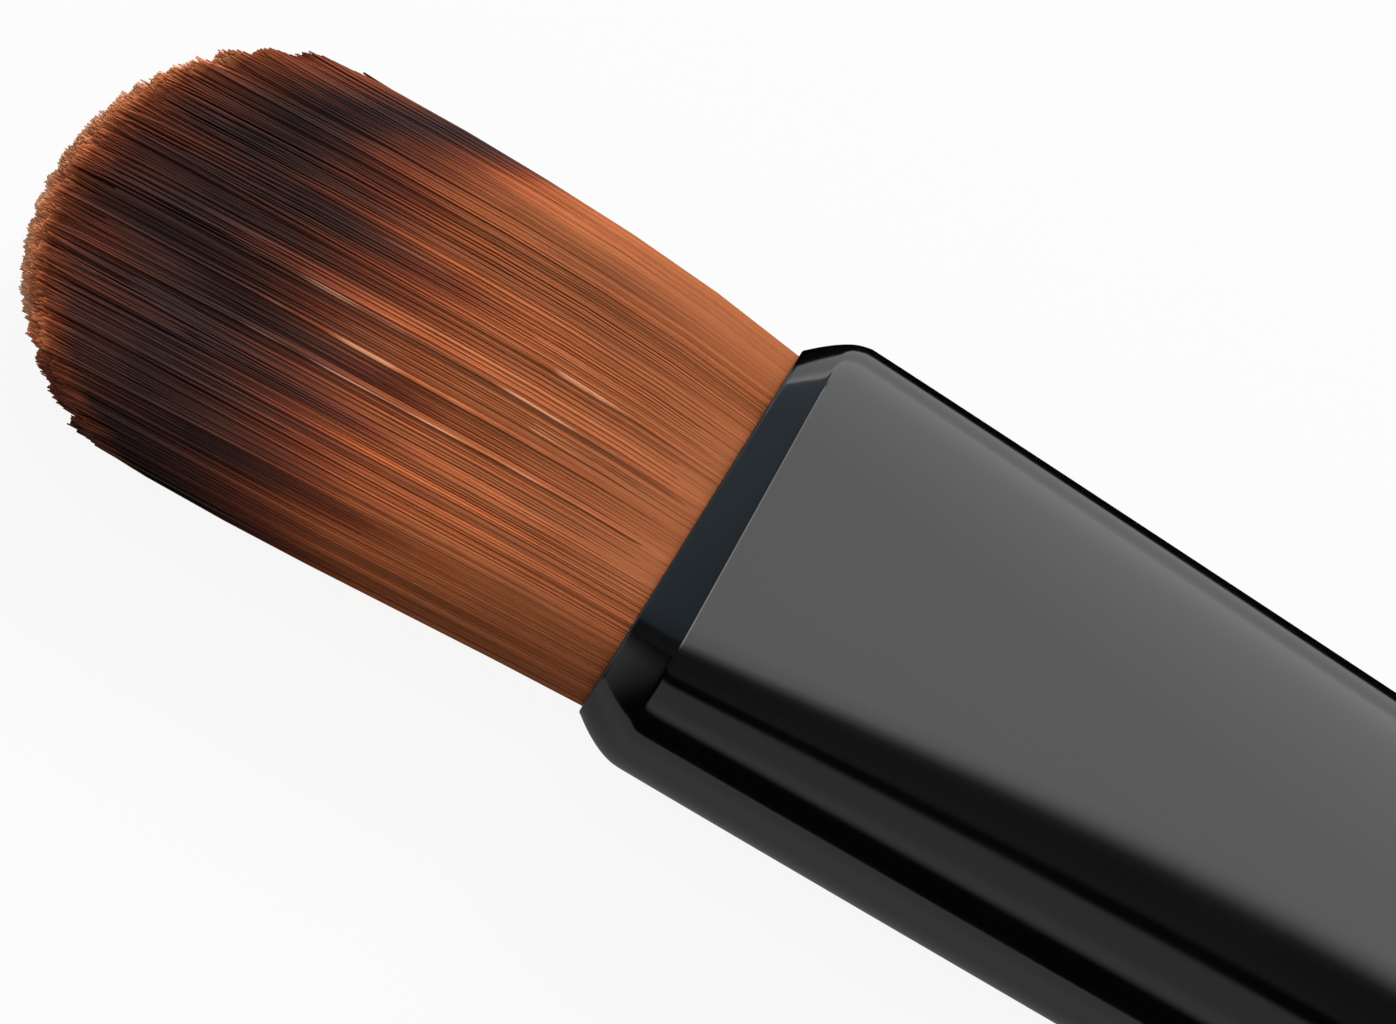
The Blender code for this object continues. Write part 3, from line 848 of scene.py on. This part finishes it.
# %% Dye along a filament
SHADES, GLEAMING = 128, 6
PLAIN = SHADES - GLEAMING
MAP_START, MAP_PER_MM = 0.02, 0.0217
DYE = [
    (0.0, (0.30, 0.090, 0.030)),
    (0.03, (0.45, 0.135, 0.045)),
    (0.14, (0.45, 0.132, 0.043)),
    (0.25, (0.50, 0.148, 0.048)),
    (0.34, (0.46, 0.122, 0.039)),
    (0.40, (0.265, 0.060, 0.023)),
    (0.45, (0.155, 0.036, 0.018)),
    (0.50, (0.088, 0.025, 0.015)),
    (0.55, (0.046, 0.016, 0.012)),
    (0.61, (0.030, 0.012, 0.011)),
    (0.69, (0.068, 0.021, 0.014)),
    (0.78, (0.130, 0.031, 0.015)),
    (0.88, (0.24, 0.055, 0.020)),
    (0.92, (0.60, 0.170, 0.060)),
    (0.96, (0.98, 0.37, 0.165)),
    (1.0, (1.0, 0.61, 0.38)),
]


def map_height(out):
    """The place on the map of a point this far out of the mouth, short of the tips."""
    return MAP_START + MAP_PER_MM * np.clip(out, 0, TUFT_LENGTH)


print("filament shades:", SHADES, "dye stops:", len(DYE))

# %% [markdown]
# ## Every filament a little different
# White noise turns the column's number into three chances: how far this filament's bands of
# dye are moved, how bright it is and how rough. A smooth noise along the column lets the
# first two waver. Near the handle the tuft is even, so there both have little effect.

# %% Filament material
COLUMN_STEP, DRIFT_SCALE, GLINT_SCALE = 3.7, 6.0, 11.0
SWING, WAVER = (-0.055, 0.055), (-0.07, 0.07)
BANDS_FREE, BANDS_HELD = (0.03, 0.20), (0.70, 0.80, 1.0, 0.0)
BRIGHT, RIPPLE, CONTRAST = (0.57, 1.43), (0.75, 1.25), (0.05, 0.28, 0.25, 1.0)
GLINT, GLEAM_ON, GLEAM_OFF = (0.46, 0.68), (0.10, 0.18), (0.40, 0.62, 1.0, 0.0)
# The pale colour added over the dye as a painted highlight.
BLANK, PAINTED_GLEAM_COLOUR = (0, 0, 0, 1), (0.36, 0.22, 0.135, 1)
ROUGH, SPECULAR = (0.32, 0.48), 0.12


def dyed(tree, height, chance, drift):
    """The dye at this height, with the bands moved by the filament's own chance and drift."""
    moved = maths(tree, "ADD", ranged(tree, chance, *SWING), ranged(tree, drift, *WAVER))
    free = ramp_between(tree, height, *BANDS_FREE)
    held = ramp_between(tree, height, *BANDS_HELD)
    along = maths(tree, "ADD", height, times(tree, moved, free, held))
    return set_ramp(add_node(tree, "ValToRGB", {"Fac": along}), DYE)


def gleaming(tree, height, column, glint):
    """Painted highlight: a pale colour added to the last few columns over part of their length."""
    proud = maths(tree, "GREATER_THAN", column, PLAIN - 0.5)
    patch = ramp_between(tree, glint, *GLINT)
    on = ramp_between(tree, height, *GLEAM_ON)
    off = ramp_between(tree, height, *GLEAM_OFF)
    return colour_mix(tree, times(tree, proud, patch, on, off), BLANK, PAINTED_GLEAM_COLOUR)


def column_noise(tree, column, height, scale, detail):
    """A smooth noise along each filament, unlike the next one's."""
    spot = {"X": times(tree, column, COLUMN_STEP), "Y": height}
    spot = add_node(tree, "CombineXYZ", spot).outputs[0]
    inputs = {"Vector": spot, "Scale": scale, "Detail": detail}
    return add_node(tree, "TexNoise", inputs).outputs["Fac"]


def filament_material():
    made, tree = empty_material("filament")
    uv = add_node(tree, "UVMap", uv_map="strand_map").outputs["UV"]
    parts = add_node(tree, "SeparateXYZ", {0: uv}).outputs
    height = parts["Y"]
    column = maths(tree, "FLOOR", times(tree, parts["X"], float(SHADES)))
    chance = add_node(tree, "TexWhiteNoise", {"W": column}, noise_dimensions="1D").outputs["Color"]
    chances = add_node(tree, "SeparateColor", {0: chance}).outputs
    drift = column_noise(tree, column, height, DRIFT_SCALE, 2.0)
    glint = column_noise(tree, column, height, GLINT_SCALE, 0.0)
    bright = times(tree, ranged(tree, chances[1], *BRIGHT), ranged(tree, drift, *RIPPLE))
    contrast = ramp_between(tree, height, *CONTRAST)
    level = add_node(tree, "Mix", {0: contrast, 2: 1.0, 3: bright}).outputs[0]
    shade = add_node(tree, "CombineXYZ", {"X": level, "Y": level, "Z": level}).outputs[0]
    colour = colour_mix(tree, 1.0, dyed(tree, height, chances[0], drift), shade, "MULTIPLY")
    # A painted highlight: pale colour added on top of the dye.
    colour = colour_mix(tree, 1.0, colour, gleaming(tree, height, column, glint), "ADD")
    surface = add_node(tree, "BsdfPrincipled", {
        "Base Color": colour, "Roughness": ranged(tree, chances[2], *ROUGH),
        "Specular IOR Level": SPECULAR,
    })
    return surfaced(made, surface.outputs[0])


FILAMENT = filament_material()
print("filament nodes:", len(FILAMENT.node_tree.nodes))

# %% [markdown]
# ## Filling behind the filaments
# Between the outer filaments one always sees more filaments. A smooth core just under them,
# dyed in the same way, stands for that mass, so that no dark gap opens between two strands.
# It is drawn over rings as the handle is, and stops short of the tips.

# %% Core of the tuft
CORE_FILL, CORE_SHORT = 0.95, 3.0
CORE_UNDER, UNDER_RUN, UNDER_CURVE = (0.998, 0.95), 34, 0.8
CORE_OUTS = [-ROOT_AT + 1.1 * step for step in range(24)]
CORE_OUTS += [24.5, 26.0, 27.5, 29.0, 30.2, 31.0, 31.6, 32.0, 32.3]


def core_size(out):
    """How much of the tuft's width the core fills at this distance."""
    past = np.clip((out - (TUFT_LENGTH - DOME - CORE_SHORT)) / DOME, 0, 1)
    return CORE_FILL * math.sqrt(1 - past**2)


def core_point(turn, out):
    """A point of the core, drawn in from the tuft's own surface."""
    angle = 2 * math.pi * turn
    y, z = tuft_point(math.cos(angle), math.sin(angle), out)
    middle = tuft_middle(out)
    y = middle + (y - middle) * core_size(out)
    under = mix(*CORE_UNDER, (max(out, 0) / UNDER_RUN) ** UNDER_CURVE)
    return on_brush(-out * MM, y * MM, z * under * MM)


def tuft_core():
    bm = bmesh.new()
    turn = bm.verts.layers.float.new("turn")
    far = bm.verts.layers.float.new("out")
    uv = bm.loops.layers.uv.new("strand_map")
    verts, first = first_ring(bm, turn)
    edges = first
    for count, out in enumerate(CORE_OUTS):
        if count:
            verts, edges = next_ring(bm, edges)
        for vert in verts:
            vert.co = core_point(vert[turn], out)
            vert[far] = out
    close_ends(bm, first, edges)
    shades = np.random.default_rng(5).integers(0, PLAIN, SIDES)
    for face in bm.faces:
        turns = [round(vert[turn] * SIDES) for vert in face.verts]
        side = max(turns) if max(turns) - min(turns) > 1 else min(turns)
        for loop in face.loops:
            loop[uv].uv = ((shades[side] + 0.5) / SHADES, map_height(loop.vert[far]))
    return finished_piece("tuft_core", bm, FILAMENT, angle=60)


core = tuft_core()
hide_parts("bristle_tuft")

# %% [markdown]
# ## Bunches, locks and scallops
# Filaments gather into small bunches towards their tips, and most of those in one lock share
# a shade. The trimmed rim is slightly scalloped, and along three lines some filaments stand
# out and get a painted highlight. A fixed seed gives the same brush in each run.

# %% Bunches, locks and scallops
BUNCH_TRIES, BUNCH_SPREAD, LOCK_COUNT = 520, 0.045, 600
SCALLOP_COUNT, SCALLOP_START, SCALLOP_WIDTHS = 40, -1.2, (0.065, 0.115)
bunch_rng = np.random.default_rng(11)
BUNCHES = bunch_rng.uniform(-1, 1, (BUNCH_TRIES, 2))
BUNCHES = BUNCHES[np.hypot(*BUNCHES.T) < 1]
BUNCH_TIP = bunch_rng.normal(0, BUNCH_SPREAD, len(BUNCHES))
LOCKS = bunch_rng.uniform(-1, 1, (LOCK_COUNT, 2))
LOCK_SHADE = bunch_rng.integers(0, PLAIN, LOCK_COUNT)
SCALLOPS = SCALLOP_START + np.cumsum(bunch_rng.uniform(*SCALLOP_WIDTHS, SCALLOP_COUNT))
SCALLOP_DEPTH, SCALLOP_HALF, SCALLOP_LIMIT = 0.36, 0.045, 1.2
WAVE, WAVE_UP, WAVE_ACROSS = 0.05, 5, 7
WAVE_SLOPE, WAVE_START = 2.5, 0.75
# Lines across the disc along which proud filaments get the painted highlight.
GLEAM_LINES = np.array([0.21, -0.13, 0.01])
LINE_HALF, LINE_FROM, LINE_SHARE = 0.015, 0.86, 0.5
FACE_FROM, PROUD_SHARE, LOCK_SHARE = 0.9, 0.02, 0.88
BUNCH_SQUEEZE, LOCK_SQUEEZE = 0.6, 0.5


def nearest(places, seeds, squeeze):
    """Which seed lies nearest to each place, with the disc squeezed upward."""
    apart = (places[:, None] - seeds[None]) * (1.0, squeeze)
    return np.linalg.norm(apart, axis=2).argmin(1)


def scalloped_reach(wide, high):
    """How far out the scalloped outline lies, and how far off its scallop's middle is."""
    wave = WAVE * np.sin(WAVE_UP * high + WAVE_ACROSS * wide)
    lane = wide + wave * np.clip(WAVE_SLOPE * np.abs(high) - WAVE_START, 0, 1)
    away = SCALLOPS[np.abs(lane[:, None] - SCALLOPS[None]).argmin(1)] - lane
    dip = np.minimum(np.abs(away) / SCALLOP_HALF, SCALLOP_LIMIT) ** 2
    return dome_reach(wide) - SCALLOP_DEPTH * dip, away


def pick_proud(places, rng):
    """Which filaments stand proud, and on which gleam line, or -1 for none."""
    count = len(places)
    proud = (np.abs(places[:, 1]) > FACE_FROM) & (rng.random(count) < PROUD_SHARE)
    off_line = np.abs(places[:, :1] - GLEAM_LINES)
    near_line = (np.hypot(*places.T) > LINE_FROM) & (off_line.min(1) < LINE_HALF)
    grouped = near_line & (rng.random(count) < LINE_SHARE)
    return proud | grouped, np.where(grouped, off_line.argmin(1), -1)


def pick_shades(places, proud, line, rng):
    """Each filament's column of the map: mostly its lock's, one with a painted highlight if it is
    proud.
    """
    count = len(places)
    shared = LOCK_SHADE[nearest(places, LOCKS, LOCK_SQUEEZE)]
    shade = np.where(rng.random(count) < LOCK_SHARE, shared, rng.integers(0, PLAIN, count))
    shade = np.where(proud, rng.integers(PLAIN, SHADES, count), shade)
    return np.where(line < 0, shade, PLAIN + line)


print(len(BUNCHES), "bunches,", len(LOCKS), "locks")

# %% [markdown]
# ## How each filament runs
# A filament has a centre line, a shade and its heights on the colour map. Its first levels
# lie at fixed distances out of the mouth, and the last three follow its own end. On its way
# it is drawn towards its bunch's middle and strays by chance, and at its end it leans into
# its scallop. The ends take the map's bright last part, duller where a filament stops short
# of the outline and along the tuft's narrow sides. That dulling grows towards the near side,
# away from the lamps: painted shade.

# %% Paths of filaments
LEVELS, TIP_LEVELS = 9, slice(7, None)
FIXED_OUTS = np.array([-ROOT_AT, 0.0, 5.0, 10.0, 15.0])
TIP_STEPS, TIP_ROOM, LEVEL_GAP = (1.8, 0.8, 0.0), 2.4, 0.02
SCATTER, DISC_EDGE, LENGTH_SPREAD, FRAY = 0.009, 0.985, 0.026, 0.014
PULL, PULL_FROM, PULL_RUN, PULL_CURVE = 0.18, 8, 26, 1.5
STRAY, STRAY_RUN, PROUD_BY, PROUD_RUN = 0.012, 15, 0.07, 6
GATHER, GATHER_RUN = 0.4, 5
DYE_SLANT, RIM_MAP, RIM_SLANT, RIM_FALL = 0.12, 0.835, 0.011, 0.045
SHORT_SHARE, SHORT_RUN, SIDE_FROM, SIDE_RUN = 0.75, 1.5, 0.62, 0.34
# DULL dulls short and side tips; the next two add painted shade towards the near side.
DULL, NEAR_SIDE_SHADE, NEAR_RUN = 0.16, 0.06, 9


def rise(value, start, run):
    """From 0 to 1 while the value goes from the start over the run."""
    return np.clip((value - start) / run, 0, 1)


def level_outs(reach):
    """How far out each level of each filament lies."""
    out = np.empty((len(reach), LEVELS))
    fixed = len(FIXED_OUTS)
    latest = reach[:, None] - TIP_ROOM + LEVEL_GAP * np.arange(fixed)
    out[:, :fixed] = np.minimum(FIXED_OUTS, latest)
    out[:, fixed] = mix(out[:, fixed - 1], reach - TIP_STEPS[0], 0.5)
    out[:, fixed + 1:] = reach[:, None] - TIP_STEPS
    return out


def map_heights(out, y, wide, reach, outline):
    """The height on the colour map of each level of each filament."""
    height = map_height(out - DYE_SLANT * y)
    rim = RIM_MAP + RIM_SLANT * y - RIM_FALL * (outline[:, None] - out)
    height = np.maximum(height, rim)
    full = mix(reach, outline, SHORT_SHARE)[:, None]
    short = rise(full - out[:, TIP_LEVELS], 0, SHORT_RUN)
    side = rise(np.abs(wide[:, None]), SIDE_FROM, SIDE_RUN)
    # Painted shade: the dulling of the tips grows towards the near side, away from the lamps.
    dull = DULL + NEAR_SIDE_SHADE * rise(-y[:, TIP_LEVELS], 0, NEAR_RUN)
    height[:, TIP_LEVELS] = 1.0 - dull * np.maximum(short, side)
    return height


def strand_paths(places, rng):
    """Each filament's centre line as (filament, level, xyz), its shade and its map heights."""
    count = len(places)
    places = places + rng.normal(0, SCATTER, places.shape)
    size = np.maximum(np.hypot(*places.T), TINY)
    places *= np.minimum(1, DISC_EDGE / size)[:, None]
    bunch = nearest(places, BUNCHES, BUNCH_SQUEEZE)
    wide, high = disc_to_oval(*places.T)
    outline, away = scalloped_reach(wide, high)
    reach = outline - layer_drop(wide, high) + BUNCH_TIP[bunch]
    reach = reach + rng.normal(0, LENGTH_SPREAD, count)
    out = level_outs(reach)
    pull = PULL * rise(out, PULL_FROM, PULL_RUN) ** PULL_CURVE
    at = places[:, None] + pull[..., None] * (BUNCHES[bunch] - places)[:, None]
    at = at + rise(out, 0, TUFT_LENGTH)[..., None] ** 2 * rng.normal(0, FRAY, (count, 1, 2))
    proud, line = pick_proud(places, rng)
    stray = rng.normal((0, 0), (STRAY, 0), (count, 1, 2))
    at = at + (proud[:, None] * rise(out, 0, STRAY_RUN))[..., None] * stray
    close = np.clip(1 - (reach[:, None] - out) / GATHER_RUN, 0, 1)
    at[..., 0] += away[:, None] * GATHER * close**2
    y, z = tuft_point(at[..., 0], at[..., 1], out)
    z = z + np.sign(z) * PROUD_BY * proud[:, None] * rise(out, 0, PROUD_RUN)
    shade = pick_shades(places, proud, line, rng)
    height = map_heights(out, y, wide, reach, outline)
    return np.stack([-out, y, z], 2), shade, height


print(LEVELS, "levels to a filament")

# %% [markdown]
# ## Thousands of filaments
# A curve or a hair system could draw the tuft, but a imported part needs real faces. So a grid
# of small triangles stands for the roots, and each of them is extruded level after level
# into a filament. Every new point remembers its filament, its corner and its level, and one
# array sum then puts all of them in place. The grid's rows lie closer together near the
# broad faces, where filaments show.

# %% Grow a sheaf of filaments
GRID_WIDE, GRID_DEEP, ROW_CURVE, BACKING = 32, 44, 0.7, 2.0
MARKS = ("number", "corner", "level")


def root_grid(bm, place, level, low, high):
    """A closed slab with a grid of small triangles in front, one for each filament."""
    bmesh.ops.create_grid(bm, x_segments=GRID_WIDE, y_segments=GRID_DEEP, size=1)
    for vert in bm.verts:
        across = mix(low, high, (vert.co.x + 1) / 2)
        up = math.copysign(abs(vert.co.y) ** ROW_CURVE, vert.co.y)
        vert[place] = (across * math.sqrt(1 - up**2 / 2), up * math.sqrt(1 - across**2 / 2), 0)
        y, z = tuft_point(vert[place].x, vert[place].y, -ROOT_AT)
        vert.co = on_brush(ROOT_AT * MM, y * MM, z * MM)
        vert[level] = -1
    bmesh.ops.triangulate(bm, faces=bm.faces, quad_method="SHORT_EDGE")
    cells = list(bm.faces)
    back_verts, back_rim = next_ring(bm, [edge for edge in bm.edges if edge.is_boundary])
    for vert in back_verts:
        vert.co.x += BACKING * MM
    close_ends(bm, back_rim)
    return cells


def sheaf(name, low, high, seed):
    """One part of the tuft's width, from low to high across the disc."""
    bm = bmesh.new()
    place = bm.verts.layers.float_vector.new("place")
    number, corner, level = [bm.verts.layers.int.new(mark) for mark in MARKS]
    tops = root_grid(bm, place, level, low, high)
    places = []
    for step in range(LEVELS):
        tops = bmesh.ops.extrude_discrete_faces(bm, faces=tops)["faces"]
        for face in tops:
            if not step:
                middle = sum((vert[place] for vert in face.verts), Vector()) / 3
                for turn, vert in enumerate(face.verts):
                    vert[number], vert[corner] = len(places), turn
                places.append(middle[:2])
            for vert in face.verts:
                vert[level] = step
    mesh = bpy.data.meshes.new(name)
    bm.to_mesh(mesh)
    bm.free()
    shape_strands(mesh, np.array(places), np.random.default_rng(seed))
    return mesh


print("filaments in a sheaf:", 2 * GRID_WIDE * GRID_DEEP)

# %% [markdown]
# ## Placing every point
# Each grown point lies beside its filament's centre line, by a radius that shrinks towards
# the tip. Its three sides lie in a row in its column of the map, and the last one goes on
# past the third corner instead of back to the first.

# %% Shape and map of the filaments
RADII = 0.06 * np.array([1.2, 1.2, 1.15, 1.1, 1.1, 1.1, 1.05, 0.95, 0.75])
COLUMN_MARGIN, COLUMN_SPAN = 0.05, 3.1


def read_ints(items, field):
    """One whole number of every item in a mesh's list."""
    found = np.empty(len(items), np.int32)
    items.foreach_get(field, found)
    return found


def place_points(mesh, path, number, angle, level):
    """Puts every grown point beside its filament's centre line, at its own angle."""
    across = np.stack([np.zeros(len(angle)), np.cos(angle), np.sin(angle)], 1)
    placed = (path[number, level] + across * RADII[level][:, None]) * MM
    placed = placed + (MOUTH_X, 0, AXIS_Z)
    grown = level >= 0
    points = np.empty((len(mesh.vertices), 3))
    mesh.vertices.foreach_get("co", points.reshape(-1))
    points[grown] = placed[grown]
    mesh.vertices.foreach_set("co", points.reshape(-1))


def lay_out_map(mesh, shade, height, number, corner, level):
    """Gives every side of every filament its place on the map."""
    totals = read_ints(mesh.polygons, "loop_total")
    vertex = read_ints(mesh.loops, "vertex_index")
    face = np.repeat(np.arange(len(totals)), totals)
    seen = np.zeros((len(totals), 3), bool)
    seen[face, corner[vertex]] = True
    wraps = (seen[:, 0] & seen[:, 2] & ~seen[:, 1])[face] & (corner[vertex] == 0)
    across = (corner[vertex] + 3 * wraps + COLUMN_MARGIN) / COLUMN_SPAN
    u = (shade[number[vertex]] + across) / SHADES
    v = np.where(level[vertex] >= 0, height[number[vertex], level[vertex]], 0.0)
    layer = mesh.uv_layers.new(name="strand_map")
    layer.uv.foreach_set("vector", np.stack([u, v], 1).astype(np.float32).ravel())


def shape_strands(mesh, places, rng):
    """Puts every point of the sheaf in place and lays out its UV map."""
    marks = [read_ints(mesh.attributes[mark].data, "value") for mark in MARKS]
    number, corner, level = marks
    path, shade, height = strand_paths(places, rng)
    start = rng.uniform(0, 2 * math.pi, len(places))
    place_points(mesh, path, number, start[number] - corner * 2 * math.pi / 3, level)
    lay_out_map(mesh, shade, height, *marks)


print("thickest", round(2 * RADII.max(), 2), "mm, thinnest", round(2 * RADII.min(), 2), "mm")

# %% [markdown]
# ## Four sheaves
# The tuft is made in four parts side by side, because one mesh of all the filaments would be
# too heavy. Each part has its own seed.

# %% Four sheaves
SHEAVES, FIRST_SEED = "abcd", 20


def finish_sheaf(name, mesh):
    """Makes the grown mesh a piece of the brush, smooth all round each filament."""
    bm = bmesh.new()
    bm.from_mesh(mesh)
    bpy.data.meshes.remove(mesh)
    obj = finished_piece(name, bm, FILAMENT, angle=180)
    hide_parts("bristle_tuft")


for part, letter in enumerate(SHEAVES):
    low, high = (2 * edge / len(SHEAVES) - 1 for edge in (part, part + 1))
    name = "tuft_filaments_" + letter
    finish_sheaf(name, sheaf(name, low, high, FIRST_SEED + part))

# %% [markdown]
# ## The pieces inside
# The sleeve, its plug, the resin, the thread, the weight, its bushes and the foam pads keep
# the frame's shapes, because nobody sees them without taking the brush apart. Each still
# gets the finish of what it is made of. The metals have a grain drawn out along the brush.

# %% Finishes of the inner pieces
INNER_FINISHES = (
    finish(
        "aluminium", colours=[(0.72, 0.73, 0.75), (0.80, 0.80, 0.81)], roughness=(0.24, 0.36),
        patches=300, grains=9000, bump_mm=0.004, stretch=30.0, metallic=1.0,
    ),
    finish(
        "resin", colours=[(0.42, 0.24, 0.08), (0.58, 0.38, 0.15)], roughness=(0.18, 0.35),
        patches=700, grains=3000, bump_mm=0.01,
    ),
    finish(
        "nylon_thread", colours=[(0.62, 0.58, 0.52), (0.80, 0.77, 0.70)], roughness=(0.5, 0.7),
        patches=2500, grains=9000, bump_mm=0.03,
    ),
    finish(
        "moulded_plastic", colours=[(0.05, 0.05, 0.054), (0.085, 0.085, 0.09)],
        roughness=(0.42, 0.58), patches=300, grains=6000, bump_mm=0.01,
    ),
    finish(
        "foam", colours=[(0.09, 0.09, 0.10), (0.20, 0.20, 0.21)], roughness=(0.9, 1.0),
        patches=2600, grains=2600, bump_mm=0.15,
    ),
    finish(
        "steel", colours=[(0.50, 0.51, 0.53), (0.63, 0.63, 0.64)], roughness=(0.28, 0.42),
        patches=400, grains=8000, bump_mm=0.004, stretch=20.0, metallic=1.0,
    ),
)
INNER = {material.name: material for material in INNER_FINISHES}
for row in frame["record"]["subparts"]:
    if row["material_slot"] in INNER:
        node = frame["nodes"][row["node"]]
        for slot in node.material_slots:
            slot.material = INNER[row["material_slot"]]
        print(row["node"], "in", row["material_slot"])

# %% [markdown]
# ## The finished size
# The finished brush's box is printed, to set beside the frame's box printed at the start.
# The finished brush must fill the same box as its frame.

# %% Sizes and finish
low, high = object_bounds()
print("visual", [round(side / MM, 1) for side in high - low], "mm")
